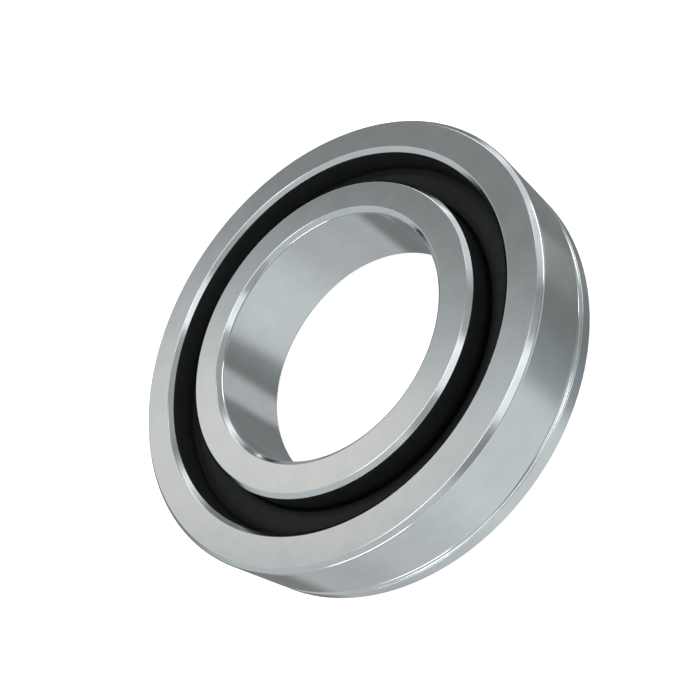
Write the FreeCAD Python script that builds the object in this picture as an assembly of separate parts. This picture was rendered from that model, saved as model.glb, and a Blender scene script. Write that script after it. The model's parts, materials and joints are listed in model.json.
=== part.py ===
"""Sealed single-row deep-groove ball bearing, 32 x 58 x 12 mm.

The bearing lies flat: +Z is its axis, the origin is the centre of its rear face and the
front face, with its deep seal channel, looks up.  Lengths are in millimetres.
"""
import FreeCAD, Part
import math
import os

# ---------------------------------------------------------------- driving dimensions
bore_diameter = 32.0
outside_diameter = 58.0
width = 12.0

front_chamfer = 0.6          # bore and outside edges at the front face
rear_chamfer = 0.8           # the same edges at the rear face
land_chamfer = 0.5           # edges of the rings beside the seals
edge_round = 0.12            # small radius where a chamfer meets its neighbours

inner_face_radius = 20.0     # where the inner ring's faces end
outer_face_radius = 24.95    # where the outer ring's faces begin

ball_diameter = 5.0
ball_count = 14
pitch_radius = 22.4
ball_plane = 4.25            # height of the ball centres over the rear face
ball_play = 0.04             # gap between a ball and each raceway
race_conformity = 0.52       # raceway radius over ball diameter

ring_groove_plane = 3.04     # retaining-ring groove in the outside diameter
ring_groove_radius = 0.52

channel_depth = 4.0          # front face down to the floor of the seal channel
seal_thickness = 0.7
insert_thickness = 0.3
insert_inner_radius = 21.3
insert_outer_radius = 24.2
rim_overhang = 0.4           # undercut of the outer ring that holds the seals' rims
rim_height = 0.07            # straight bit between a land chamfer and its undercut
channel_outer_top = 24.47
channel_outer_foot = 24.2
rear_seal_depth = 0.5        # rear face up to the rear seal
lip_gap = 0.08               # between a seal lip and what it runs on
lip_bevel = 0.25
bead_height = 0.12           # raised rims moulded on the rear seal
bead_inner_radius = 21.5
bead_outer_radius = 23.7

flinger_seat_radius = 20.0   # step of the inner ring under the flinger band
flinger_top_radius = 20.45
flinger_foot_radius = 20.58

inner_shoulder_radius = 20.6
outer_shoulder_radius = 24.2
rear_land_radius = 20.4      # what the rear seal's lip runs on
shoulder_step = 0.15         # axial gap between the ring shoulders and the rear seal

cage_sheet = 0.3
cage_width = 1.9
pocket_play = 0.08           # gap between a ball and its pocket
rivet_shank_radius = 0.35
rivet_head_radius = 0.6
rivet_head_height = 0.25
rivet_head_top_radius = 0.4

# ---------------------------------------------------------------- worked-out sizes
bore_radius = bore_diameter / 2
outside_radius = outside_diameter / 2
ball_radius = ball_diameter / 2
race_radius = race_conformity * ball_diameter
inner_race_centre = pitch_radius - ball_radius - ball_play + race_radius
outer_race_centre = pitch_radius + ball_radius + ball_play - race_radius
pocket_radius = ball_radius + pocket_play
ball_step = 360.0 / ball_count

land_top = width - land_chamfer - rim_height     # upper end of the channel's black walls
channel_floor = width - channel_depth
seal_bottom = channel_floor - seal_thickness
seat_radius = outer_face_radius - land_chamfer + rim_overhang
inner_rim_radius = inner_face_radius + land_chamfer
outer_rim_radius = outer_face_radius - land_chamfer
rear_seal_top = rear_seal_depth + seal_thickness
rear_seat_bottom = land_chamfer + rim_height

axis_point = FreeCAD.Vector(0, 0, 0)
axis_direction = FreeCAD.Vector(0, 0, 1)


# ---------------------------------------------------------------- helpers
def at(radius, height):
    """Point of a section in the XZ half-plane."""
    return FreeCAD.Vector(radius, 0, height)


def rounded_outline(corners):
    """Closed wire through (radius, height, rounding) corners, each rounded by a tangent arc."""
    count = len(corners)
    spans = []
    for index in range(count):
        here = at(*corners[index][:2])
        before = (at(*corners[index - 1][:2]) - here).normalize()
        after = (at(*corners[(index + 1) % count][:2]) - here).normalize()
        rounding = corners[index][2]
        if rounding == 0:
            spans.append((here, None, here))
            continue
        half_angle = before.getAngle(after) / 2
        reach = rounding / math.tan(half_angle)
        bisector = (before + after).normalize()
        middle = here + bisector * (rounding / math.sin(half_angle) - rounding)
        spans.append((here + before * reach, middle, here + after * reach))
    edges = []
    for index in range(count):
        start, middle, end = spans[index]
        if middle is not None:
            edges.append(Part.Arc(start, middle, end).toShape())
        edges.append(Part.LineSegment(end, spans[(index + 1) % count][0]).toShape())
    return Part.Wire(edges)


def turned(corners):
    """Solid of revolution about the bearing axis."""
    return Part.Face(rounded_outline(corners)).revolve(axis_point, axis_direction, 360)


def torus(centre_radius, tube_radius, height):
    """Ring of round section about the bearing axis."""
    return Part.makeTorus(centre_radius, tube_radius, FreeCAD.Vector(0, 0, height), axis_direction)


def on_pitch_circle(angle, height):
    """Point on the balls' pitch circle."""
    turn = math.radians(angle)
    return FreeCAD.Vector(pitch_radius * math.cos(turn), pitch_radius * math.sin(turn), height)


def write(name, shape):
    """One STEP file per node."""
    shape.exportStep("parts/" + name + ".step")
    print(name, len(shape.Solids), "solid(s)", round(shape.Volume, 2), "mm3", shape.isValid())


# ---------------------------------------------------------------- rings
def make_outer_ring():
    """Outer ring: chamfered section, seal seats, raceway and retaining-ring groove."""
    blank = turned([
        (outer_face_radius, width, edge_round),
        (outer_rim_radius, width - land_chamfer, 0),
        (outer_rim_radius, land_top, 0),
        (seat_radius, land_top, 0),
        (seat_radius, seal_bottom, 0),
        (outer_shoulder_radius, seal_bottom, 0),
        (outer_shoulder_radius, rear_seal_top, 0),
        (seat_radius, rear_seal_top, 0),
        (seat_radius, rear_seat_bottom, 0),
        (outer_rim_radius, rear_seat_bottom, 0),
        (outer_rim_radius, land_chamfer, 0),
        (outer_face_radius, 0, edge_round),
        (outside_radius - rear_chamfer, 0, edge_round),
        (outside_radius, rear_chamfer, edge_round),
        (outside_radius, width - front_chamfer, edge_round),
        (outside_radius - front_chamfer, width, edge_round),
    ])
    blank = blank.cut(torus(outer_race_centre, race_radius, ball_plane))
    return blank.cut(torus(outside_radius, ring_groove_radius, ring_groove_plane))


def make_inner_ring():
    """Inner ring: bore, chamfers, raceway, rear lip land and the flinger's seat."""
    shoulder_bottom = rear_seal_top + shoulder_step
    shoulder_top = seal_bottom - shoulder_step
    blank = turned([
        (bore_radius + front_chamfer, width, edge_round),
        (bore_radius, width - front_chamfer, edge_round),
        (bore_radius, rear_chamfer, edge_round),
        (bore_radius + rear_chamfer, 0, edge_round),
        (rear_land_radius - land_chamfer, 0, edge_round),
        (rear_land_radius, land_chamfer, 0),
        (rear_land_radius, shoulder_bottom, 0),
        (inner_shoulder_radius, shoulder_bottom, 0),
        (inner_shoulder_radius, shoulder_top, 0),
        (flinger_seat_radius, shoulder_top, 0),
        (flinger_seat_radius, land_top, 0),
        (inner_rim_radius, land_top, 0),
        (inner_rim_radius, width - land_chamfer, 0),
        (inner_face_radius, width, edge_round),
    ])
    return blank.cut(torus(inner_race_centre, race_radius, ball_plane))


# ---------------------------------------------------------------- seals
def make_front_insert():
    """Flat steel washer that stiffens the front seal's floor."""
    return turned([
        (insert_inner_radius, seal_bottom, 0),
        (insert_outer_radius, seal_bottom, 0),
        (insert_outer_radius, seal_bottom + insert_thickness, 0),
        (insert_inner_radius, seal_bottom + insert_thickness, 0),
    ])


def make_front_seal():
    """Moulded rubber cup: a sleeve on the outer ring, the channel's floor and a running lip."""
    lip_radius = flinger_foot_radius + lip_gap
    cup = turned([
        (seat_radius, seal_bottom, 0),
        (seat_radius, land_top, 0),
        (channel_outer_top, land_top, 0),
        (channel_outer_foot, channel_floor, 0),
        (lip_radius + lip_bevel, channel_floor, 0),
        (lip_radius, channel_floor - lip_bevel, 0),
        (lip_radius, seal_bottom + lip_bevel, 0),
        (lip_radius + lip_bevel, seal_bottom, 0),
    ])
    return cup.cut(make_front_insert())


def make_flinger():
    """Rubber band on the inner ring that forms the channel's inner wall."""
    foot = seal_bottom - shoulder_step
    return turned([
        (flinger_seat_radius, foot, 0),
        (flinger_foot_radius, foot, 0),
        (flinger_foot_radius, channel_floor, 0),
        (flinger_top_radius, land_top, 0),
        (flinger_seat_radius, land_top, 0),
    ])


def make_rear_insert():
    """Flat steel washer that stiffens the rear seal."""
    return turned([
        (insert_inner_radius, rear_seal_top - insert_thickness, 0),
        (insert_outer_radius, rear_seal_top - insert_thickness, 0),
        (insert_outer_radius, rear_seal_top, 0),
        (insert_inner_radius, rear_seal_top, 0),
    ])


def make_rear_seal():
    """Rubber disc with a snap-in rim, two raised rims and a lip on the inner ring."""
    lip_radius = rear_land_radius + lip_gap
    dished = rear_seal_depth + bead_height
    disc = turned([
        (seat_radius, rear_seat_bottom, 0),
        (seat_radius, rear_seal_top, 0),
        (lip_radius + lip_bevel, rear_seal_top, 0),
        (lip_radius, rear_seal_top - lip_bevel, 0),
        (lip_radius, rear_seal_depth + bead_height, 0),
        (lip_radius + bead_height, rear_seal_depth, 0),
        (bead_inner_radius, rear_seal_depth, 0),
        (bead_inner_radius + bead_height, dished, 0),
        (bead_outer_radius, dished, 0),
        (bead_outer_radius + bead_height, rear_seal_depth, 0),
        (outer_rim_radius - bead_height, rear_seal_depth, 0),
        (outer_rim_radius - bead_height, rear_seat_bottom, 0),
    ])
    return disc.cut(make_rear_insert())


# ---------------------------------------------------------------- balls and cage
def make_ball(angle):
    """One hardened ball on the pitch circle."""
    return Part.makeSphere(ball_radius, on_pitch_circle(angle, ball_plane))


def cage_band(bottom, height):
    """Flat ring as wide as the cage."""
    outer = Part.makeCylinder(pitch_radius + cage_width / 2, height, at(0, bottom), axis_direction)
    inner = Part.makeCylinder(pitch_radius - cage_width / 2, height, at(0, bottom), axis_direction)
    return outer.cut(inner)


def make_cage_half(side):
    """Pressed ribbon with one domed pocket half per ball; side +1 is the front half."""
    dome_height = pocket_radius + cage_sheet
    if side > 0:
        flat = cage_band(ball_plane, cage_sheet)
        room = cage_band(ball_plane, dome_height)
    else:
        flat = cage_band(ball_plane - cage_sheet, cage_sheet)
        room = cage_band(ball_plane - dome_height, dome_height)
    centres = [on_pitch_circle(index * ball_step, ball_plane) for index in range(ball_count)]
    domes = [Part.makeSphere(dome_height, centre).common(room) for centre in centres]
    pockets = [Part.makeSphere(pocket_radius, centre) for centre in centres]
    holes = [
        Part.makeCylinder(
            rivet_shank_radius,
            2 * dome_height,
            on_pitch_circle((index + 0.5) * ball_step, ball_plane - dome_height),
            axis_direction,
        )
        for index in range(ball_count)
    ]
    return flat.fuse(domes).cut(pockets).cut(holes).removeSplitter()


def make_rivets():
    """One double-headed rivet between each two pockets, as separate solids."""
    half = cage_sheet + rivet_head_height
    section = [
        (0, -half, 0),
        (rivet_head_top_radius, -half, 0),
        (rivet_head_radius, -cage_sheet, 0),
        (rivet_shank_radius, -cage_sheet, 0),
        (rivet_shank_radius, cage_sheet, 0),
        (rivet_head_radius, cage_sheet, 0),
        (rivet_head_top_radius, half, 0),
        (0, half, 0),
    ]
    rivets = []
    for index in range(ball_count):
        rivet = turned(section)
        rivet.translate(on_pitch_circle((index + 0.5) * ball_step, ball_plane))
        rivets.append(rivet)
    return Part.makeCompound(rivets)


# ---------------------------------------------------------------- output
os.makedirs("parts", exist_ok=True)
write("outer_ring", make_outer_ring())
write("inner_ring", make_inner_ring())
write("front_seal_rubber", make_front_seal())
write("front_seal_insert", make_front_insert())
write("front_flinger_band", make_flinger())
write("rear_seal_rubber", make_rear_seal())
write("rear_seal_insert", make_rear_insert())
write("cage_front_half", make_cage_half(+1))
write("cage_rear_half", make_cage_half(-1))
write("cage_rivets", make_rivets())
for number in range(ball_count):
    write("ball_%02d" % (number + 1), make_ball(number * ball_step))
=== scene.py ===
# %% [markdown]
# # A sealed ball bearing, piece by piece
#
# A deep-groove ball bearing is two hardened steel rings with a row of balls between them.
# The design model fixes every size and every axis.  This lesson dresses it: each ring, seal
# and ball becomes a clean surface with its true broken edges, and gets the finish that a
# bearing works gives it.
#
# The first step loads the design as a frame that nothing here may move.  Its outer box is
# kept, to be printed at the end beside the dressed bearing's box.

# %% Load the frame
import json
import math
import bpy
import numpy as np
from mathutils import Matrix, Vector


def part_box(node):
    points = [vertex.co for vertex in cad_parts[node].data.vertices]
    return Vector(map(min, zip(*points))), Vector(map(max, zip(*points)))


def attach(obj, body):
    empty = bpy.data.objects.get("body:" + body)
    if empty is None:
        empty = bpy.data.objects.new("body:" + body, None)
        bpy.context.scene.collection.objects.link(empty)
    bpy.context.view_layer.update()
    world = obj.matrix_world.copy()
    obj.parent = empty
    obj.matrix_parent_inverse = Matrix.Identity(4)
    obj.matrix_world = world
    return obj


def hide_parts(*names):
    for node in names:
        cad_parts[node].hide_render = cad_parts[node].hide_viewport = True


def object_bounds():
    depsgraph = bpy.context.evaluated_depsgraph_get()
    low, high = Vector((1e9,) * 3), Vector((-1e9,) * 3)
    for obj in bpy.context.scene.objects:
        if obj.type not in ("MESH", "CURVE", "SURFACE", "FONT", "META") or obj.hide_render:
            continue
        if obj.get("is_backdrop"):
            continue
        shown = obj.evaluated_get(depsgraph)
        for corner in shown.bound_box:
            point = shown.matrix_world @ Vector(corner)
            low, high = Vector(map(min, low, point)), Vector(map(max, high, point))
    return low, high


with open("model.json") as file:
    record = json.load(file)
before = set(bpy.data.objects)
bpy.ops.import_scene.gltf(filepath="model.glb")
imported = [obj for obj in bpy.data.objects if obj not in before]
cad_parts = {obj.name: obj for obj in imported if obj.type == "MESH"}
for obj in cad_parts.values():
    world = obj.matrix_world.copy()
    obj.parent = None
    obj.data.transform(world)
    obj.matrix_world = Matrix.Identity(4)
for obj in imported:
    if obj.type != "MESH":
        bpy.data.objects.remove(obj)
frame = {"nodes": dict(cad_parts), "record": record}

cad_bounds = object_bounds()
print("design box in metres:", [tuple(round(v, 4) for v in corner) for corner in cad_bounds])

# %% [markdown]
# Machinists think in millimetres and Blender in metres, so the sections below are drawn in
# millimetres and scaled once, when a mesh is made.
#
# The main sizes are read from the frame: a node's box gives its outer radius and its two
# ends, and the record's mounts give the bore.  Only what a box can't tell, such as a
# chamfer, is a number of its own.

# %% Read the main sizes
MM = 0.001


def span(node):
    """Outer radius, lower end and upper end of a node turned about the bearing axis."""
    low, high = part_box(node)
    return high.x / MM, low.z / MM, high.z / MM


mounts = {mount["name"]: mount for mount in frame["record"]["mounts"]}
bore = mounts["shaft_bore"]["dims"]["r_mm"]
outside, _, width = span("outer_ring")
inner_shoulder, _, _ = span("inner_ring")
seat, cup_bottom, land_top = span("front_seal_rubber")
band_foot_radius, band_foot, _ = span("front_flinger_band")
_, rear_seal_bottom, rear_seal_top = span("rear_seal_rubber")
washer_outer, washer_bottom, washer_top = span("front_seal_insert")
ball_low, ball_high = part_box("ball_01")
ball_radius = (ball_high.z - ball_low.z) / 2 / MM
ball_plane = (ball_high.z + ball_low.z) / 2 / MM
pitch = (ball_high.x + ball_low.x) / 2 / MM
ball_names = sorted(name for name in frame["nodes"] if name.startswith("ball_"))
print("bore", bore, "outside", round(outside, 3), "width", round(width, 3))
print(len(ball_names), "balls of radius", round(ball_radius, 3), "on a circle of", round(pitch, 3))

# %% [markdown]
# ## The camera
#
# A product portrait of a bearing is taken from above and in front, with the camera rolled,
# so that a part that lies flat seems to stand on its rim.  The camera here looks down at
# about 44 degrees and is rolled by 56 degrees.  A Track To constraint could aim it, but a
# rolled camera is simpler as a product: tip it over, roll it about the lens, and step back.

# %% Place the camera
camera_height = 44.41          # degrees above the horizon
camera_roll = -56.21           # degrees about the line of sight
camera_distance = 123.3        # mm to the point it looks at
camera_aim = Vector((0, -5.9, 11.8)) * MM
camera_lens = 55.57            # mm, for a sensor 36 mm wide
lens_slide = (-0.00097, 0.00064)        # of the picture's width, right and up
tip_over = Matrix.Rotation(math.radians(90 - camera_height), 4, "X")
roll = Matrix.Rotation(math.radians(camera_roll), 4, "Z")
camera = bpy.data.objects.new("portrait_camera", bpy.data.cameras.new("portrait_camera"))
camera.data.sensor_width = 36.0
camera.data.lens = camera_lens
camera.data.shift_x, camera.data.shift_y = lens_slide
camera.data.clip_start = 0.005
camera.data.clip_end = 10.0
camera.matrix_world = Matrix.Translation(camera_aim) @ tip_over @ roll @ Matrix.Translation(
    (0, 0, camera_distance * MM))
bpy.context.scene.collection.objects.link(camera)
bpy.context.scene.camera = camera
bpy.context.scene.view_settings.view_transform = "Standard"
print("camera stands at", tuple(round(v, 4) for v in camera.matrix_world.translation))

# %% [markdown]
# ## Shader maths as arithmetic
#
# A finish is a sum of small effects: grinding lines, a satin mottle, bright worn edges.
# Dozens of Math nodes are hard to read, so one small class stands for a wire between nodes,
# and Python's own operators add the nodes.  `1 - mask` then means what it says.
#
# Any other node comes from one method, `node`: its type, then its settings, then what goes
# into its sockets.

# %% Wires and benches


class Wire:
    """One output of a node; arithmetic on it adds Math nodes to the same bench."""

    def __init__(self, bench, socket):
        self.bench = bench
        self.socket = socket

    def __add__(self, other):
        return self.bench.maths("ADD", self, other)

    def __sub__(self, other):
        return self.bench.maths("SUBTRACT", self, other)

    def __rsub__(self, other):
        return self.bench.maths("SUBTRACT", other, self)

    def __mul__(self, other):
        return self.bench.maths("MULTIPLY", self, other)

    def __truediv__(self, other):
        return self.bench.maths("DIVIDE", self, other)

    __radd__ = __add__
    __rmul__ = __mul__


class Bench:
    """A node tree that finishes are put together on."""

    def __init__(self, tree):
        self.tree = tree
        tree.nodes.clear()

    def node(self, kind, settings=None, inputs=None, output=0):
        """Adds a node, sets its settings, fills its sockets and returns one output as a Wire."""
        made = self.tree.nodes.new(kind)
        for name, value in (settings or {}).items():
            setattr(made, name, value)
        for name, value in (inputs or {}).items():
            if isinstance(value, Wire):
                self.tree.links.new(value.socket, made.inputs[name])
            else:
                made.inputs[name].default_value = value
        return Wire(self, made.outputs[output]) if made.outputs else made

    def maths(self, operation, *values):
        """One Math node."""
        return self.node("ShaderNodeMath", {"operation": operation}, dict(enumerate(values)))

    def vector(self, x, y, z):
        """Three numbers or wires as one vector."""
        return self.node("ShaderNodeCombineXYZ", None, {0: x, 1: y, 2: z})

    def split(self, vector):
        """The x, y and z of a vector."""
        first = self.node("ShaderNodeSeparateXYZ", None, {0: vector})
        return [Wire(self, socket) for socket in first.socket.node.outputs]

    def ease(self, value, start, end):
        """0 up to start, 1 from end on, and a smooth S between them."""
        settings = {"interpolation_type": "SMOOTHSTEP"}
        return self.node("ShaderNodeMapRange", settings,
                         {"Value": value, "From Min": start, "From Max": end})

    def noise(self, vector, scale, detail=2.0):
        """Cloudy noise from 0 to 1."""
        return self.node("ShaderNodeTexNoise", None,
                         {"Vector": vector, "Scale": scale, "Detail": detail})

    def blend(self, factor, first, second):
        """A colour between two colours."""
        settings = {"data_type": "RGBA"}
        return self.node("ShaderNodeMix", settings, {0: factor, 6: first, 7: second}, output=2)


print("shader bench ready")

# %% [markdown]
# ## The studio
#
# Polished steel has no colour of its own: it shows the room.  So the light matters more
# than the metal.  Area lamps would work, but each adds noise to a mirror-like surface; a
# painted world does the same job cleanly.  This one is a dim grey room with soft panels,
# each given by the direction it hangs in: its bearing round the room (0 is behind the part,
# 90 is to its right), its height above the horizon, its half sizes, the width of its soft
# edge, how far it leans (degrees of bearing per degree of height), its brightness and how
# cool it is, where less than nothing is warm.  A negative brightness makes a dark card, which
# studios call a flag: the one overhead keeps the flat faces from burning out when they are
# seen from straight above.
#
# Big panels make the broad tones of the flat faces and of the outside.  Two glows are so
# faint that they only tint what they fall on.  The small bright lamps are what draws the
# thin sparkling lines along the rounded edges.  The two low ones hang just above the
# horizon, where an upright wall never mirrors them to an eye that looks down, because a
# white streak at the wall's edge would eat into its outline.

# %% Paint the world with soft panels
ROOM_LEVEL = 0.22
ROOM_COOLNESS = 0.15
COOL_SHIFT = (-0.10, 0.0, 0.08)        # what a coolness of 1 adds to red, green and blue

# name: (bearing, height, half width, half height, soft edge, lean, level, coolness)
PANELS = {
    "back wall": (-76.5, 42, 71, 40, 18, 0.6, 0.36, 0.4),
    "back corner": (-9.5, 43, 3, 3, 8, 0.5, 0.16, -2.5),
    "back spill": (8, 44, 14, 12, 12, 0.5, 0.05, 0.3),
    "main softbox": (153, 40, 12, 14, 12, -0.2, 0.80, 0.1),
    "front upper wall": (-170, 52, 18, 10, 8, 0.0, 0.20, 0.3),
    "right upper wall": (108, 48, 30, 14, 14, 0.0, 0.19, 0.3),
    "right low panel": (83, 8, 26, 12, 9, 0.0, 0.55, 0.4),
    "floor bounce": (-135, -50, 75, 40, 16, -0.8, 0.27, 0.3),
    "floor bounce crest": (175, -50, 8, 40, 60, 0.0, 0.21, 0.2),
    "floor bounce left": (-128, -62, 20, 5, 25, 0.0, 0.12, 0.3),
    "right floor panel": (97, -30, 8, 12, 12, 0.9, 0.30, 0.3),
    "warm wall glow": (-13, 52, 9, 6, 9, 0.0, 0.01, -14.0),
    "cool floor glow": (138, -60, 14, 10, 16, 0.0, 0.025, 6.0),
    "overhead": (0, 90, 180, 17, 9, 0.0, 2.40, 0.2),
    "overhead flag": (0, 90, 180, 14, 5, 0.0, -1.80, 0.2),
    "left lamp": (-92, 64, 14, 4, 5, 0.0, 2.4, 0.2),
    "left low lamp": (-119, 8, 16, 2, 3, 0.0, 3.8, 0.2),
    "right lamp": (120, 76, 10, 3, 5, 0.0, 3.0, 0.2),
    "right low lamp": (99, 7, 14, 2, 3, 0.0, 3.8, 0.2),
    "right rear lamp": (70, 46, 6, 3, 5, 0.0, 3.0, 0.2),
    "rear low lamp": (54, 10, 6, 7, 8, 0.0, 0.45, 0.1),
    "rear lamp": (38, 32, 5, 4, 5, 0.0, 3.0, 0.1),
}


def paint_world():
    """World colour = room level + the sum of the panels, each panel a product of two soft
    windows, one in bearing = atan2(x, y) and one in height = asin(z) of the view direction."""
    world = bpy.data.worlds.new("studio")
    world.use_nodes = True
    bench = Bench(world.node_tree)
    direction = bench.node("ShaderNodeTexCoord", output="Generated")
    x, y, z = bench.split(direction)
    bearing = bench.maths("DEGREES", bench.maths("ARCTAN2", x, y))
    height = bench.maths("DEGREES", bench.maths("ARCSINE", z))
    level = ROOM_LEVEL
    cool = ROOM_LEVEL * ROOM_COOLNESS
    for around, up, half_width, half_height, soft, lean, bright, coolness in PANELS.values():
        middle = (height - up) * lean + around
        aside = bench.maths("ABSOLUTE", bench.maths("WRAP", bearing - middle, 180.0, -180.0))
        above = bench.maths("ABSOLUTE", height - up)
        across = 1 - bench.ease(aside, half_width, half_width + soft)
        along = 1 - bench.ease(above, half_height, half_height + soft)
        panel = across * along * bright
        level = level + panel
        cool = cool + panel * coolness
    channels = [level + cool * shift for shift in COOL_SHIFT]
    colour = bench.node("ShaderNodeCombineColor", None, dict(enumerate(channels)))
    background = bench.node("ShaderNodeBackground", None, {"Color": colour})
    bench.node("ShaderNodeOutputWorld", None, {"Surface": background})
    bpy.context.scene.world = world


paint_world()
print("world painted with", len(PANELS), "panels")

# %% [markdown]
# ## Floor and backdrop
#
# The floor is a plain pale sheet and the backdrop a plain dome.  Both glow a little, as a
# light table does, so that the bearing stands on white with only a breath of contact
# shadow.  They are hidden from reflections: a mirror-bright ring would otherwise show
# nothing but floor, and lose the panels that model its shape.

# %% Lay the floor and raise the backdrop
FLOOR_SIZE = 2.4
FLOOR_DROP = 0.00005           # keeps the sheet clear of the rear faces that stand on it
FLOOR_GLOW = 0.72
DOME_RADIUS = 1.5
DOME_RINGS = 33
DOME_SIDES = 64
WHITE_PAINT = (0.9, 0.9, 0.9, 1.0)


def glowing_paint(name, glow):
    """White paint with a little light of its own."""
    material = bpy.data.materials.new(name)
    material.use_nodes = True
    bench = Bench(material.node_tree)
    shader = bench.node("ShaderNodeBsdfPrincipled", None, {
        "Base Color": WHITE_PAINT, "Roughness": 0.9, "Specular IOR Level": 0.0,
        "Emission Color": (1.0, 1.0, 1.0, 1.0), "Emission Strength": glow})
    bench.node("ShaderNodeOutputMaterial", None, {"Surface": shader})
    return material


def stage_object(name, vertices, faces, material):
    """A floor or backdrop that the camera sees and reflections don't."""
    mesh = bpy.data.meshes.new(name)
    mesh.from_pydata(vertices, [], faces)
    mesh.materials.append(material)
    made = bpy.data.objects.new(name, mesh)
    bpy.context.scene.collection.objects.link(made)
    made.visible_glossy = False
    made.visible_shadow = False
    made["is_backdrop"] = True
    return made


def dome_grid(radius, rings, sides):
    """Sphere: radius (cos a cos b, sin a cos b, sin b), a round the room and b up it."""
    around = np.linspace(0, 2 * np.pi, sides, endpoint=False)
    up = np.linspace(-np.pi / 2, np.pi / 2, rings)[:, None]
    grid = np.stack([np.cos(around) * np.cos(up), np.sin(around) * np.cos(up),
                     np.sin(up) + 0 * around], axis=-1)
    index = np.arange(rings * sides).reshape(rings, sides)
    along = np.roll(index, -1, axis=1)
    quads = np.stack([index[:-1], index[1:], along[1:], along[:-1]], axis=-1)
    return (radius * grid).reshape(-1, 3), quads.reshape(-1, 4)


half = FLOOR_SIZE / 2
floor_corners = [(-half, -half), (half, -half), (half, half), (-half, half)]
stage_object("light_table", [(x, y, -FLOOR_DROP) for x, y in floor_corners],
             [(0, 1, 2, 3)], glowing_paint("table_paint", FLOOR_GLOW))
dome_points, dome_faces = dome_grid(DOME_RADIUS, DOME_RINGS, DOME_SIDES)
dome = stage_object("backdrop_dome", dome_points.tolist(), dome_faces.tolist(),
                    glowing_paint("dome_paint", 1.0))
dome.visible_diffuse = False
dome.visible_transmission = False
print("floor and backdrop staged")

# %% [markdown]
# ## Sections
#
# Everything turned on a lathe is one outline swept round an axis.  Blender's Spin or Screw
# could do that, but the shading of a ground flat beside a tiny rounded edge needs exact
# normals, and a formula gives them.
#
# An outline is a list of stations.  A station is a corner with a rounding, which becomes a
# tangent arc, or a ready run of points, such as a groove.  The outline is walked with the
# steel on the left, so the outside is always on the right.

# %% Draw outlines
EDGE_ROUND = 0.15              # mm, on every broken edge in sight but the next
WALL_ROUND = 0.50              # mm, where a front chamfer runs into the bore or the outside
TRACK_ROUND = 0.12             # mm, on the shoulders beside the ball tracks
BEAD_ROUND = 0.06              # mm, on the raised rims of the rear seal
HIDDEN_ROUND = 0.03            # mm, on edges that other pieces cover
FINE_STEPS = 6                 # steps of an arc of BEAD_ROUND or more
COARSE_STEPS = 2               # steps of a smaller arc
LIP_STEPS = 4                  # steps of a groove's rounded lip


def arc(centre, radius, start, end, steps, hollow=False):
    """Points centre + radius (cos a, sin a), a from start to end in degrees; the normal is
    (cos a, sin a), or its opposite on a hollow arc."""
    angle = np.radians(np.linspace(start, end, steps + 1))
    away = np.stack([np.cos(angle), np.sin(angle)], axis=1)
    return np.array(centre) + radius * away, -away if hollow else away


def rounded_corner(before, corner, after, rounding):
    """Arc of the given radius that touches both sides of a corner.  Its normal turns evenly
    from one side's to the other's, and its centre lies on the bisector at radius / cos(half
    the turn) from the corner: inside the steel at a convex corner, outside at a hollow one."""
    ahead = np.arctan2(*(corner - before)[::-1])
    turn = np.arctan2(*(after - corner)[::-1]) - ahead
    turn = (turn + np.pi) % (2 * np.pi) - np.pi
    side = np.sign(turn)
    steps = FINE_STEPS if rounding >= BEAD_ROUND else COARSE_STEPS
    heading = ahead - np.pi / 2 + turn * np.linspace(0, 1, steps + 1)
    normals = np.stack([np.cos(heading), np.sin(heading)], axis=1)
    middle = ahead - np.pi / 2 + turn / 2
    bisector = np.array([np.cos(middle), np.sin(middle)])
    centre = corner - side * rounding / np.cos(turn / 2) * bisector
    return centre + side * rounding * normals, normals


def joined(runs):
    """Several runs of points and normals as one."""
    return [np.concatenate(part) for part in zip(*runs)]


def outline(*stations):
    """Points and normals of a section, station by station."""
    def end(station, which):
        return station[0][which] if len(station) == 2 else np.array(station[:2])

    runs = []
    for index, station in enumerate(stations):
        if len(station) == 3:
            before = end(stations[index - 1], -1)
            after = end(stations[(index + 1) % len(stations)], 0)
            station = rounded_corner(before, np.array(station[:2]), after, station[2])
        runs.append(station)
    return joined(runs)


def groove(wall, plane, centre_radius, radius, lip, steps, outward=True):
    """Round groove in a straight wall, with its two lips rounded.  Seen from where the wall
    and the groove's plane cross, a lip's centre lies lip deep in the steel and radius + lip
    from the groove's own centre, so its height follows by Pythagoras.  The run goes up an
    outward wall; half a turn makes it the run down an inward one."""
    reach = wall - centre_radius if outward else centre_radius - wall
    rise = math.sqrt((radius + lip) ** 2 - (reach - lip) ** 2)
    lean = math.degrees(math.atan2(rise, lip - reach))
    points, normals = joined([
        arc((-lip, -rise), lip, 0, lean, LIP_STEPS),
        arc((-reach, 0), radius, 180 + lean, 180 - lean, steps, hollow=True),
        arc((-lip, rise), lip, -lean, 0, LIP_STEPS),
    ])
    facing = 1 if outward else -1
    return np.array([wall, plane]) + facing * points, facing * normals


print("a rounded edge has", FINE_STEPS, "steps, or", COARSE_STEPS, "if it is tiny")

# %% [markdown]
# ## From arrays to meshes
#
# Vertices, faces and normals are whole numpy arrays, so nothing loops over points.  A ring's
# section is carried round the axis on a grid that closes both ways: round the axis, and
# round the section.  A ball or a rivet starts and ends on its own axis, so its first and
# last rows shrink to a single point each and its caps are triangles.
#
# The exact normals are stored as custom normals.  Without them the shading of a wide flat
# face would bend towards the rounded edge beside it.

# %% Put grids into meshes
RING_SIDES = 512


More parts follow.
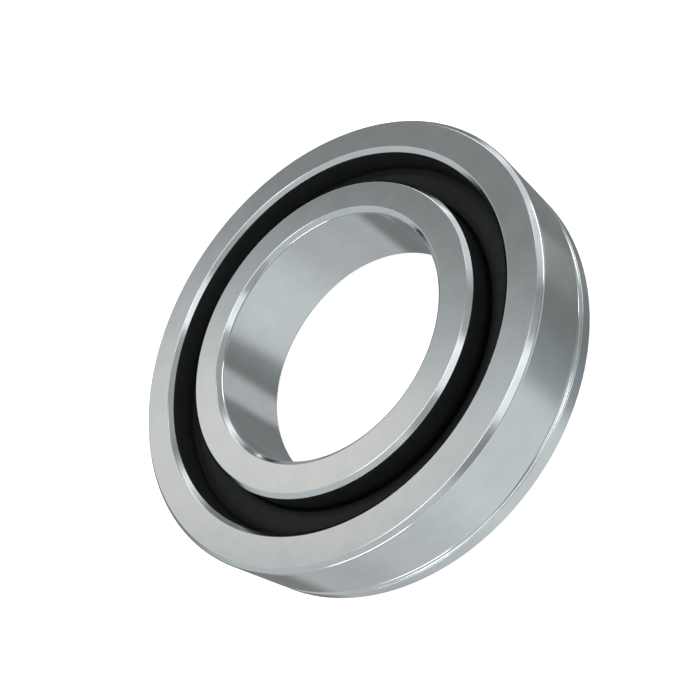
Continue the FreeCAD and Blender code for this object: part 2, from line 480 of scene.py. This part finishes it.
def piece(name, vertices, faces, normals, body, material, slot, *replaced):
    """A mesh object from millimetre points, riding on a body in place of CAD nodes."""
    sizes = np.concatenate([np.full(len(block), block.shape[1]) for block in faces])
    corners = np.concatenate([block.ravel() for block in faces])
    mesh = bpy.data.meshes.new(name)
    mesh.vertices.add(len(vertices))
    mesh.vertices.foreach_set("co", (vertices * MM).ravel())
    mesh.loops.add(len(corners))
    mesh.loops.foreach_set("vertex_index", corners)
    mesh.polygons.add(len(sizes))
    mesh.polygons.foreach_set("loop_start", np.cumsum(sizes) - sizes)
    mesh.update(calc_edges=True)
    mesh.shade_smooth()
    mesh.normals_split_custom_set_from_vertices(normals)
    mesh.materials.append(material)
    made = bpy.data.objects.new(name, mesh)
    bpy.context.scene.collection.objects.link(made)
    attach(made, body)
    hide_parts(*replaced)
    print(name, "has", int((sizes - 2).sum()), "triangles")
    return made


def quads(index, wrap_rows):
    """Faces between neighbours of a grid of vertex numbers, closed along its rows, and
    closed over its rows too if wrap_rows is true."""
    beside = np.roll(index, -1, axis=1)
    above, above_beside = np.roll(index, -1, axis=0), np.roll(beside, -1, axis=0)
    block = np.stack([index, beside, above_beside, above], axis=-1)
    return (block if wrap_rows else block[:-1]).reshape(-1, 4)


def swept(section, sides):
    """Section point (r, z) goes to (r cos a, r sin a, z) for evenly spaced angles a, and its
    normal turns with it.  Returns arrays of section x sides x 3."""
    angle = np.linspace(0, 2 * np.pi, sides, endpoint=False)
    turn = np.stack([np.cos(angle), np.sin(angle), 0 * angle], axis=1)
    return [part[:, None, :1] * turn + part[:, None, 1:] * np.array([0, 0, 1]) for part in section]


def turned_ring(name, section, *facts):
    """Ring turned about the bearing axis."""
    points, normals = swept(section, RING_SIDES)
    index = np.arange(points[..., 0].size).reshape(points.shape[:2])
    return piece(name, points.reshape(-1, 3), [quads(index, True)], normals.reshape(-1, 3), *facts)


def turned_solid(section, sides):
    """Vertices, faces and normals of a solid whose section starts and ends on its own axis:
    the two end rows are one point each, met by fans of triangles."""
    points, normals = swept(section, sides)
    # the first vertex is the bottom point, so the rows between the two ends start at 1
    inner = np.arange((len(points) - 2) * sides).reshape(-1, sides) + 1
    last = inner[-1, -1] + 1
    bottom = np.stack([0 * inner[0], np.roll(inner[0], -1), inner[0]], axis=-1)
    top = np.stack([0 * inner[0] + last, inner[-1], np.roll(inner[-1], -1)], axis=-1)
    vertices, directions = [
        np.concatenate([part[0, :1], part[1:-1].reshape(-1, 3), part[-1, :1]])
        for part in (points, normals)]
    return vertices, [quads(inner, False), bottom, top], directions


print("rings have", RING_SIDES, "sides")

# %% [markdown]
# ## Ground and tumbled steel
#
# The rings are bearing steel, hardened and ground, then tumbled.  Grinding leaves very fine
# lines that run round the ring, tumbling softens them to a satin, and handling adds a few
# hair scratches and slightly brighter edges.
#
# Rings are made to show lines round the axis by sampling noise at (cos a, sin a, r + z):
# it changes slowly along a line and quickly from one line to the next.  That works on a
# flat face, on the bore and on the outside alike.

# %% Steel of the rings
RING_TINT_LOW = (0.700, 0.740, 0.742, 1.0)
RING_TINT_HIGH = (0.742, 0.782, 0.782, 1.0)
EDGE_TINT = (0.82, 0.85, 0.86, 1.0)
RING_RELIEF = 0.0032           # mm, the height of the finish's bumps
WORN_REACH = 0.3               # mm


def finish_bench(name):
    """A new material, its bench, and the object coordinates in millimetres."""
    material = bpy.data.materials.new(name)
    material.use_nodes = True
    bench = Bench(material.node_tree)
    place = bench.node("ShaderNodeTexCoord", output="Object")
    place = bench.node("ShaderNodeVectorMath", {"operation": "SCALE"}, {0: place, "Scale": 1 / MM})
    return material, bench, place


def close_bench(bench, fixed, bump, bump_height, **varying):
    """Principled shader with fixed values, varying wires and a bump of a given height."""
    normal = bench.node("ShaderNodeBump", None, {"Height": bump, "Distance": bump_height * MM})
    inputs = {name.replace("_", " "): wire for name, wire in varying.items()}
    shader = bench.node("ShaderNodeBsdfPrincipled", None, {**fixed, **inputs, "Normal": normal})
    bench.node("ShaderNodeOutputMaterial", None, {"Surface": shader})


def edge_wear(bench, radius, height, edges, reach):
    """1 on the given (radius, height) circles, fading to 0 at reach millimetres."""
    worn = 0.0
    for edge_radius, edge_height in edges:
        away = (bench.maths("ABSOLUTE", radius - edge_radius)
                + bench.maths("ABSOLUTE", height - edge_height))
        worn = 1 - bench.ease(away, 0.0, reach) + worn
    return bench.maths("MINIMUM", worn, 1.0)


def hair_scratches(bench, place, turn, spacing):
    """Thin sparse lines: where noise stretched along one direction crosses its middle value,
    inside patches picked by a second noise."""
    turned = bench.node("ShaderNodeMapping", {"vector_type": "TEXTURE"}, {
        "Vector": place, "Rotation": (0.0, 0.0, math.radians(turn)), "Scale": (9.0, 0.8, 2.5)})
    lines = bench.noise(turned, 1 / spacing, 1.0)
    off_middle = bench.maths("ABSOLUTE", lines - 0.5)
    patches = bench.ease(bench.noise(place, 0.17, 2.0), 0.55, 0.65)
    return (1 - bench.ease(off_middle, 0.0, 0.008)) * patches


def ground_steel(name, edges):
    """Satin bearing steel for a ring whose edges are listed as (radius, height)."""
    material, bench, place = finish_bench(name)
    x, y, z = bench.split(place)
    radius = bench.maths("SQRT", x * x + y * y)
    row = radius + z * 1.7
    lathe_place = bench.vector(x / radius * 5.0, y / radius * 5.0, row * 9.0)
    grind = bench.noise(lathe_place, 1.0, 3.0)
    broad_grind = bench.noise(bench.vector(x / radius * 2.0, y / radius * 2.0, row * 1.6), 1.0, 2.0)
    mottle = bench.noise(place, 0.35, 3.0)
    peel = bench.noise(place, 1.3, 2.0)
    scratches = hair_scratches(bench, place, 25.0, 1.3) + hair_scratches(bench, place, -50.0, 1.7)
    worn = edge_wear(bench, radius, z, edges, WORN_REACH) * (mottle * 0.8 + 0.4)
    cloud = bench.ease(mottle * 0.85 + broad_grind * 0.15, 0.3, 0.7)
    tint = bench.blend(cloud, RING_TINT_LOW, RING_TINT_HIGH)
    tint = bench.blend(worn * 0.4, tint, EDGE_TINT)
    roughness = 0.12 + (mottle - 0.5) * 0.06 + (grind - 0.5) * 0.05 + worn * 0.02 + scratches * 0.08
    relief = peel + grind * 0.05 - scratches * 0.06
    close_bench(bench, {"Metallic": 1.0}, relief, RING_RELIEF,
                Base_Color=tint, Roughness=roughness)
    return material


print("ring steel is ready to be given its edges")

# %% [markdown]
# ## The outer ring
#
# The outer ring sits in the housing.  Its section has a chamfer at every edge in sight, the
# groove for a retaining ring low on the outside, the ball track inside, and at each end an
# undercut that the seals snap into.  It could be a cylinder with Bevel modifiers, but each
# of these edges has its own size, and they are what catches the light, so the section is
# drawn corner by corner.

# %% Turn the outer ring
FRONT_CHAMFER = 0.6
REAR_CHAMFER = 0.8
LAND_CHAMFER = 0.5             # beside the seals
OUTER_FACE = 24.95             # where the outer ring's flat faces begin
INNER_FACE = 20.0              # where the inner ring's flat faces end
OUTER_SHOULDER = 24.2
TRACK_RADIUS = 1.04 * ball_radius
TRACK_PLAY = 0.04
TRACK_STEPS = 16
TRACK_LIP = 0.05
RING_GROOVE_PLANE = 3.04
RING_GROOVE_RADIUS = 0.52
RING_GROOVE_LIP = 0.1
RING_GROOVE_STEPS = 14

outer_rim = OUTER_FACE - LAND_CHAMFER
inner_rim = INNER_FACE + LAND_CHAMFER
rear_rim = width - land_top
outer_track = pitch + ball_radius + TRACK_PLAY - TRACK_RADIUS
inner_track = pitch - ball_radius - TRACK_PLAY + TRACK_RADIUS

outer_section = outline(
    (OUTER_FACE, 0, EDGE_ROUND),
    (outside - REAR_CHAMFER, 0, EDGE_ROUND),
    (outside, REAR_CHAMFER, EDGE_ROUND),
    groove(outside, RING_GROOVE_PLANE, outside, RING_GROOVE_RADIUS, RING_GROOVE_LIP,
           RING_GROOVE_STEPS),
    (outside, width - FRONT_CHAMFER, WALL_ROUND),
    (outside - FRONT_CHAMFER, width, EDGE_ROUND),
    (OUTER_FACE, width, EDGE_ROUND),
    (outer_rim, width - LAND_CHAMFER, HIDDEN_ROUND),
    (outer_rim, land_top, HIDDEN_ROUND),
    (seat, land_top, HIDDEN_ROUND),
    (seat, cup_bottom, HIDDEN_ROUND),
    (OUTER_SHOULDER, cup_bottom, TRACK_ROUND),
    groove(OUTER_SHOULDER, ball_plane, outer_track, TRACK_RADIUS, TRACK_LIP, TRACK_STEPS, False),
    (OUTER_SHOULDER, rear_seal_top, TRACK_ROUND),
    (seat, rear_seal_top, HIDDEN_ROUND),
    (seat, rear_rim, HIDDEN_ROUND),
    (outer_rim, rear_rim, HIDDEN_ROUND),
    (outer_rim, LAND_CHAMFER, HIDDEN_ROUND),
)
outer_edges = [
    (outside, width - FRONT_CHAMFER), (outside - FRONT_CHAMFER, width), (OUTER_FACE, width),
    (outside, REAR_CHAMFER), (outside - REAR_CHAMFER, 0), (OUTER_FACE, 0),
    (outside, RING_GROOVE_PLANE + RING_GROOVE_RADIUS),
    (outside, RING_GROOVE_PLANE - RING_GROOVE_RADIUS)]
outer_steel = ground_steel("ground_steel_outer", outer_edges)
turned_ring("outer_ring_ground", outer_section, "outer_ring", outer_steel, "ring_steel",
            "outer_ring")

# %% [markdown]
# ## The inner ring
#
# The inner ring is pressed on the shaft.  Its bore is the smoothest surface that a stranger
# sees, and its track runs behind the seals.  A narrow step carries the rubber band that
# lines the channel's inner wall.

# %% Turn the inner ring
REAR_LAND = 20.4               # what the rear seal's lip runs on
SHOULDER_STEP = 0.15

shoulder_bottom = rear_seal_top + SHOULDER_STEP
inner_section = outline(
    (bore + REAR_CHAMFER, 0, EDGE_ROUND),
    (REAR_LAND - LAND_CHAMFER, 0, EDGE_ROUND),
    (REAR_LAND, LAND_CHAMFER, EDGE_ROUND),
    (REAR_LAND, shoulder_bottom, HIDDEN_ROUND),
    (inner_shoulder, shoulder_bottom, HIDDEN_ROUND),
    groove(inner_shoulder, ball_plane, inner_track, TRACK_RADIUS, TRACK_LIP, TRACK_STEPS),
    (inner_shoulder, band_foot, HIDDEN_ROUND),
    (INNER_FACE, band_foot, HIDDEN_ROUND),
    (INNER_FACE, land_top, HIDDEN_ROUND),
    (inner_rim, land_top, HIDDEN_ROUND),
    (inner_rim, width - LAND_CHAMFER, HIDDEN_ROUND),
    (INNER_FACE, width, EDGE_ROUND),
    (bore + FRONT_CHAMFER, width, EDGE_ROUND),
    (bore, width - FRONT_CHAMFER, WALL_ROUND),
    (bore, REAR_CHAMFER, EDGE_ROUND),
)
inner_edges = [
    (INNER_FACE, width), (bore + FRONT_CHAMFER, width), (bore, width - FRONT_CHAMFER),
    (bore, REAR_CHAMFER), (bore + REAR_CHAMFER, 0), (REAR_LAND - LAND_CHAMFER, 0)]
inner_steel = ground_steel("ground_steel_inner", inner_edges)
turned_ring("inner_ring_ground", inner_section, "inner_ring", inner_steel, "ring_steel",
            "inner_ring")

# %% [markdown]
# ## Moulded rubber
#
# The seals are black nitrile rubber.  It is nearly as black as soot, so what the eye reads
# is its soft sheen: a fine grain from the mould, slow changes from glossy to dull, and a
# greyer line where an edge has been rubbed.  Shade is painted into the corners too: the
# colour darkens to near black towards them.

# %% Rubber of the seals
RUBBER_DEEP = (0.024, 0.026, 0.026, 1.0)
RUBBER_BLOOM = (0.031, 0.033, 0.033, 1.0)
RUBBER_RUBBED = (0.055, 0.057, 0.058, 1.0)
# painted shade: the near-black colour painted into the channel's corners and beside the rear seal's
# beads, where shade falls
RUBBER_CREASE_SHADE = (0.007, 0.007, 0.007, 1.0)
RUBBER_RELIEF = 0.012          # mm
RUBBER_SHINE = 0.12
RUBBED_REACH = 0.22            # mm
# painted shade: how far the painted shade reaches from each corner
CREASE_SHADE_REACH = 1.3             # mm


def moulded_rubber(name, edges, creases):
    """Black rubber with a moulded grain; edges are the (radius, height) of its rubbed lips,
    and creases those of the corners that get painted shade, the colour darkening towards them."""
    material, bench, place = finish_bench(name)
    x, y, z = bench.split(place)
    radius = bench.maths("SQRT", x * x + y * y)
    bloom = bench.noise(place, 0.6, 3.0)
    grain = bench.noise(place, 8.0, 3.0)
    flow = bench.noise(bench.vector(x / radius * 3.0, y / radius * 3.0, (radius - z) * 4.0), 1.0)
    rubbed = edge_wear(bench, radius, z, edges, RUBBED_REACH) * bench.ease(bloom, 0.25, 0.6)
    # painted shade: 1 at each crease corner and fading out, so the colour darkens there as shade
    # would
    crease_shade = edge_wear(bench, radius, z, creases, CREASE_SHADE_REACH)
    tint = bench.blend(bench.ease(bloom * 0.6 + flow * 0.4, 0.35, 0.65), RUBBER_DEEP, RUBBER_BLOOM)
    tint = bench.blend(rubbed * 0.6, tint, RUBBER_RUBBED)
    # painted shade: the colour goes to near black towards the creases
    tint = bench.blend(crease_shade, tint, RUBBER_CREASE_SHADE)
    roughness = 0.50 + (bloom - 0.5) * 0.25 + (grain - 0.5) * 0.15
    close_bench(bench, {"Specular IOR Level": RUBBER_SHINE}, grain + flow * 0.4, RUBBER_RELIEF,
                Base_Color=tint, Roughness=roughness)
    return material


print("rubber ready")

# %% [markdown]
# ## The front seal
#
# The front of the bearing shows a deep black channel.  Its outer wall and floor are one
# moulded cup, snapped into the outer ring, and its inner wall is a band bonded to the inner
# ring.  The floor ends in a lip that runs close to the band.  A flat steel washer stiffens
# the cup from inside.

# %% Mould the front seal
CHANNEL_TOP = 24.47            # radius of the channel's outer wall at its rim
CHANNEL_FOOT = 24.2
CHANNEL_DEPTH = 4.0
LIP_GAP = 0.08
LIP_BEVEL = 0.25
WASHER_INNER = 21.3
BAND_TOP = 20.45
RIM_ROUND = 0.08
FOOT_ROUND = 0.6

channel_floor = width - CHANNEL_DEPTH
cup_lip = band_foot_radius + LIP_GAP
cup_section = outline(
    (seat, cup_bottom, HIDDEN_ROUND),
    (seat, land_top, HIDDEN_ROUND),
    (CHANNEL_TOP, land_top, RIM_ROUND),
    (CHANNEL_FOOT, channel_floor, FOOT_ROUND),
    (cup_lip + LIP_BEVEL, channel_floor, RIM_ROUND),
    (cup_lip, channel_floor - LIP_BEVEL, HIDDEN_ROUND),
    (cup_lip, cup_bottom + LIP_BEVEL, HIDDEN_ROUND),
    (cup_lip + LIP_BEVEL, cup_bottom, HIDDEN_ROUND),
    (WASHER_INNER, cup_bottom, HIDDEN_ROUND),
    (WASHER_INNER, washer_top, HIDDEN_ROUND),
    (washer_outer, washer_top, HIDDEN_ROUND),
    (washer_outer, cup_bottom, HIDDEN_ROUND),
)
# the second list holds the channel's corners, where shade is painted in
channel_rubber = moulded_rubber(
    "channel_rubber", [(CHANNEL_TOP, land_top), (BAND_TOP, land_top)],
    [(CHANNEL_FOOT, channel_floor), (band_foot_radius, channel_floor)])
turned_ring("front_seal_cup", cup_section, "outer_ring", channel_rubber, "seal_rubber",
            "front_seal_rubber")

band_section = outline(
    (INNER_FACE, band_foot, HIDDEN_ROUND),
    (band_foot_radius, band_foot, HIDDEN_ROUND),
    (band_foot_radius, channel_floor, RIM_ROUND),
    (BAND_TOP, land_top, RIM_ROUND),
    (INNER_FACE, land_top, HIDDEN_ROUND),
)
turned_ring("flinger_band_bonded", band_section, "inner_ring", channel_rubber, "seal_rubber",
            "front_flinger_band")

# %% [markdown]
# ## The rear seal
#
# The back has the usual flat seal, almost flush with the rings: a rubber disc with a raised
# rim round each edge and a lip on the inner ring.

# %% Mould the rear seal
BEAD = 0.12
BEAD_INNER = 21.5
BEAD_OUTER = 23.7

rear_lip = REAR_LAND + LIP_GAP
dished = rear_seal_bottom + BEAD
rear_washer_bottom = rear_seal_top - (washer_top - washer_bottom)
rear_section = outline(
    (seat, rear_rim, HIDDEN_ROUND),
    (seat, rear_seal_top, HIDDEN_ROUND),
    (washer_outer, rear_seal_top, HIDDEN_ROUND),
    (washer_outer, rear_washer_bottom, HIDDEN_ROUND),
    (WASHER_INNER, rear_washer_bottom, HIDDEN_ROUND),
    (WASHER_INNER, rear_seal_top, HIDDEN_ROUND),
    (rear_lip + LIP_BEVEL, rear_seal_top, HIDDEN_ROUND),
    (rear_lip, rear_seal_top - LIP_BEVEL, HIDDEN_ROUND),
    (rear_lip, dished, HIDDEN_ROUND),
    (rear_lip + BEAD, rear_seal_bottom, BEAD_ROUND),
    (BEAD_INNER, rear_seal_bottom, BEAD_ROUND),
    (BEAD_INNER + BEAD, dished, BEAD_ROUND),
    (BEAD_OUTER, dished, BEAD_ROUND),
    (BEAD_OUTER + BEAD, rear_seal_bottom, BEAD_ROUND),
    (outer_rim - BEAD, rear_seal_bottom, HIDDEN_ROUND),
    (outer_rim - BEAD, rear_rim, HIDDEN_ROUND),
)
# the second list holds the corners beside the beads, where shade is painted in
rear_rubber = moulded_rubber("rear_seal_rubber_finish", [
    (rear_lip + BEAD, rear_seal_bottom), (BEAD_INNER, rear_seal_bottom),
    (BEAD_OUTER + BEAD, rear_seal_bottom), (outer_rim - BEAD, rear_seal_bottom)],
    [(BEAD_INNER + BEAD, dished), (BEAD_OUTER, dished)])
turned_ring("rear_seal_disc", rear_section, "outer_ring", rear_rubber, "seal_rubber",
            "rear_seal_rubber")

# %% [markdown]
# ## Pressed sheet steel
#
# The washers inside the seals, and the cage with its rivets, are cut from cold-rolled
# sheet.  Rolling leaves long straight streaks and barrel-tumbling dulls them; a little oil
# stays on and browns the tint in patches.

# %% Sheet steel, and the two washers
SHEET_DARK = (0.46, 0.45, 0.43, 1.0)
SHEET_LIGHT = (0.60, 0.60, 0.59, 1.0)
SHEET_RELIEF = 0.003           # mm
SHEET_ROUGHNESS = 0.42


def sheet_steel(name, gloss):
    """Cold-rolled sheet; gloss lowers its roughness."""
    material, bench, place = finish_bench(name)
    x, y, z = bench.split(place)
    rolled = bench.noise(bench.vector(x * 0.3, y * 6.0, z * 2.0), 1.0, 3.0)
    oil = bench.noise(place, 0.4, 3.0)
    tumbled = bench.noise(place, 4.0, 2.0)
    tint = bench.blend(bench.ease(oil, 0.35, 0.65), SHEET_DARK, SHEET_LIGHT)
    roughness = SHEET_ROUGHNESS - gloss + (rolled - 0.5) * 0.15 + (oil - 0.5) * 0.12
    close_bench(bench, {"Metallic": 1.0}, rolled + tumbled * 0.6, SHEET_RELIEF,
                Base_Color=tint, Roughness=roughness)
    return material


def washer(name, bottom, top, replaced):
    """Flat stiffening washer inside a seal."""
    section = outline(
        (WASHER_INNER, bottom, HIDDEN_ROUND), (washer_outer, bottom, HIDDEN_ROUND),
        (washer_outer, top, HIDDEN_ROUND), (WASHER_INNER, top, HIDDEN_ROUND))
    return turned_ring(name, section, "outer_ring", washer_steel, "insert_steel", replaced)


washer_steel = sheet_steel("washer_steel", 0.0)
washer("front_seal_washer", washer_bottom, washer_top, "front_seal_insert")
washer("rear_seal_washer", rear_washer_bottom, rear_seal_top, "rear_seal_insert")

# %% [markdown]
# ## The balls
#
# Balls are lapped until they are rounder than a micron, and they shine like mirrors.  A
# half circle turned about each ball's own upright gives an exact sphere with closed poles.

# %% Lap the balls
BALL_SIDES = 72
BALL_STEPS = 36
BALL_TINT_LOW = (0.74, 0.75, 0.76, 1.0)
BALL_TINT_HIGH = (0.82, 0.82, 0.82, 1.0)
BALL_RELIEF = 0.0004           # mm


def lapped_steel():
    """Mirror steel with the faintest swirls from the lapping plates."""
    material, bench, place = finish_bench("lapped_steel")
    swirl = bench.noise(place, 1.6, 4.0)
    haze = bench.noise(place, 0.5, 2.0)
    tint = bench.blend(bench.ease(haze, 0.3, 0.7), BALL_TINT_LOW, BALL_TINT_HIGH)
    roughness = 0.05 + (haze - 0.5) * 0.04
    close_bench(bench, {"Metallic": 1.0}, swirl, BALL_RELIEF, Base_Color=tint, Roughness=roughness)
    return material


ball_steel = lapped_steel()
ball_section = arc((0, 0), ball_radius, -90, 90, BALL_STEPS)
ball_points, ball_faces, ball_normals = turned_solid(ball_section, BALL_SIDES)
for name in ball_names:
    low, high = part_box(name)
    centre = np.array((low + high) / 2) / MM
    piece("lapped_" + name, ball_points + centre, ball_faces, ball_normals, name, ball_steel,
          "ball_steel", name)

# %% [markdown]
# ## The cage
#
# The cage keeps the balls apart.  It is two pressed ribbons, one above and one below the
# balls, bulged over each ball and riveted together between them.
#
# A ribbon is a surface of two parameters.  One runs along it: a flat stretch, a bend and
# half a dome, mirrored and repeated for each ball.  The other runs round its cross-section,
# two flats joined by rolled edges.  Both the middle surface and its normal come from
# formulas, so the sheet's thickness is the same everywhere.

# %% Press the two cage ribbons
CAGE_SHEET = 0.3
CAGE_WIDTH = 1.9
POCKET_PLAY = 0.08
BEND_RADIUS = 0.35
DOME_STEPS, BEND_STEPS, FLAT_STEPS, WIDTH_STEPS, ROLL_STEPS = 12, 5, 4, 8, 6


def ribbon_section():
    """Offsets (across, through) round the ribbon: flat top, rolled edge, flat underside and
    rolled edge, with their normals."""
    thick = CAGE_SHEET / 2
    flat = np.linspace(CAGE_WIDTH / 2 - thick, thick - CAGE_WIDTH / 2, WIDTH_STEPS + 1)
    top = np.stack([flat, 0 * flat + thick], axis=1)
    up = np.stack([0 * flat, 0 * flat + 1], axis=1)
    inner = arc((flat[-1], 0), thick, 90, 270, ROLL_STEPS)
    outer = arc((flat[0], 0), thick, -90, 90, ROLL_STEPS)
    inner = [part[1:-1] for part in inner]
    outer = [part[1:-1] for part in outer]
    return joined([(top, up), inner, (-top, -up), outer])


def pocket_path(across):
    """Half a pocket for each offset across the ribbon, from the dome's top outwards.  The
    dome's radius there is the root of R squared less across squared; a bend touches both it
    and the flat, so its centre lies at a dome radius plus a bend radius from the ball's."""
    middle = ball_radius + POCKET_PLAY + CAGE_SHEET / 2
    flat_height = CAGE_SHEET / 2
    dome = np.sqrt(middle ** 2 - across ** 2)[None, :]
    bend_height = flat_height + BEND_RADIUS
    bend_x = np.sqrt((dome + BEND_RADIUS) ** 2 - bend_height ** 2)
    lean = np.arctan2(bend_height, bend_x)
    t = np.linspace(0, 1, DOME_STEPS + 1)[:, None]
    a = np.pi / 2 + (lean - np.pi / 2) * t
    dome_run = dome * np.cos(a), dome * np.sin(a), np.cos(a), np.sin(a)
    t = np.linspace(0, 1, BEND_STEPS + 1)[1:, None]
    a = np.pi + lean + (np.pi / 2 - lean) * t
    bend_run = (bend_x + BEND_RADIUS * np.cos(a), bend_height + BEND_RADIUS * np.sin(a),
                -np.cos(a), -np.sin(a))
    t = np.linspace(0, 1, FLAT_STEPS + 1)[1:, None]
    end = np.pi * pitch / len(ball_names)
    flat_run = (bend_x + (end - bend_x) * t, flat_height + 0 * bend_x * t, 0 * bend_x * t,
                1 + 0 * bend_x * t)
    return [np.concatenate(part) for part in zip(dome_run, bend_run, flat_run)]


def cage_ribbon(name, side, replaced):
    """Both halves of every pocket in turn, bent round the pitch circle: the distance along
    the ribbon over the pitch radius is the angle, and the sheet's normal turns with it."""
    offsets, facing = ribbon_section()
    along, rise, lean_along, lean_up = pocket_path(offsets[:, 0])
    mirrored = [np.concatenate([sign * part[:0:-1], part[:-1]]) for part, sign in
                ((along, -1), (rise, 1), (lean_along, -1), (lean_up, 1))]
    along, rise, lean_along, lean_up = mirrored
    starts = np.arange(len(ball_names)) * 2 * np.pi / len(ball_names)
    angle = (starts[:, None, None] + along / pitch).reshape(-1, along.shape[1])
    rise, lean_along, lean_up = [
        np.tile(part, (len(ball_names), 1)) for part in (rise, lean_along, lean_up)]
    outward = np.stack([np.cos(angle), np.sin(angle), 0 * angle], axis=-1)
    forward = np.stack([-np.sin(angle), np.cos(angle), 0 * angle], axis=-1)
    upward = np.array([0, 0, side])
    sheet = lean_along[..., None] * forward + lean_up[..., None] * upward
    points = ((pitch + offsets[:, 0])[:, None] * outward + rise[..., None] * upward
              + offsets[:, 1][:, None] * sheet + np.array([0, 0, ball_plane]))
    normals = facing[:, 0][:, None] * outward + facing[:, 1][:, None] * sheet
    index = np.arange(angle.size).reshape(angle.shape)
    index = (index if side > 0 else index[:, ::-1]).T
    return piece(name, points.reshape(-1, 3), [quads(index, True)], normals.reshape(-1, 3),
                 "cage", cage_steel, "cage_steel", replaced)


cage_steel = sheet_steel("cage_sheet_steel", 0.12)
cage_ribbon("cage_ribbon_front", 1, "cage_front_half")
cage_ribbon("cage_ribbon_rear", -1, "cage_rear_half")

# %% [markdown]
# The rivets between the pockets have a low dome at each end.  One rivet is worked out, and
# the other thirteen are the same arrays moved round the circle, all in one mesh, because
# the design keeps them in one node.

# %% Head the rivets
RIVET_SHANK = 0.35
RIVET_HEAD = 0.6
RIVET_HEAD_HEIGHT = 0.25
RIVET_SIDES = 24
CAP_STEPS = 8
CAP_PART = 0.95                # of the dome is kept, and the head's rim rounds off the rest

cap_radius = (RIVET_HEAD ** 2 + RIVET_HEAD_HEIGHT ** 2) / (2 * RIVET_HEAD_HEIGHT)
cap_centre = CAGE_SHEET + RIVET_HEAD_HEIGHT - cap_radius
cap_reach = math.degrees(math.asin(RIVET_HEAD / cap_radius)) * CAP_PART
rivet_section = outline(
    arc((0, -cap_centre), cap_radius, -90, cap_reach - 90, CAP_STEPS),
    (RIVET_HEAD, -CAGE_SHEET, HIDDEN_ROUND),
    (RIVET_SHANK, -CAGE_SHEET, HIDDEN_ROUND),
    (RIVET_SHANK, CAGE_SHEET, HIDDEN_ROUND),
    (RIVET_HEAD, CAGE_SHEET, HIDDEN_ROUND),
    arc((0, cap_centre), cap_radius, 90 - cap_reach, 90, CAP_STEPS),
)
rivet_points, rivet_faces, rivet_normals = turned_solid(rivet_section, RIVET_SIDES)
rivet_angle = (np.arange(len(ball_names)) + 0.5) * 2 * np.pi / len(ball_names)
rivet_places = np.stack([pitch * np.cos(rivet_angle), pitch * np.sin(rivet_angle),
                         0 * rivet_angle + ball_plane], axis=1)
rivet_first = np.arange(len(rivet_places)) * len(rivet_points)
piece("cage_rivets_headed", (rivet_places[:, None] + rivet_points).reshape(-1, 3),
      [(rivet_first[:, None, None] + block).reshape(-1, block.shape[1]) for block in rivet_faces],
      np.tile(rivet_normals, (len(rivet_places), 1)), "cage", cage_steel, "cage_steel",
      "cage_rivets")

# %% [markdown]
# ## The size is kept
# ## The two boxes
# The dressed bearing has to fill the design's box and no more, since a bearing that is out
# by a hundredth of a millimetre fits nothing.  Both boxes are written down side by side.

# %% Print the two boxes
visual_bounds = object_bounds()
for label, box in (("design", cad_bounds), ("dressed", visual_bounds)):
    print(label, [[round(v / MM, 3) for v in corner] for corner in box])
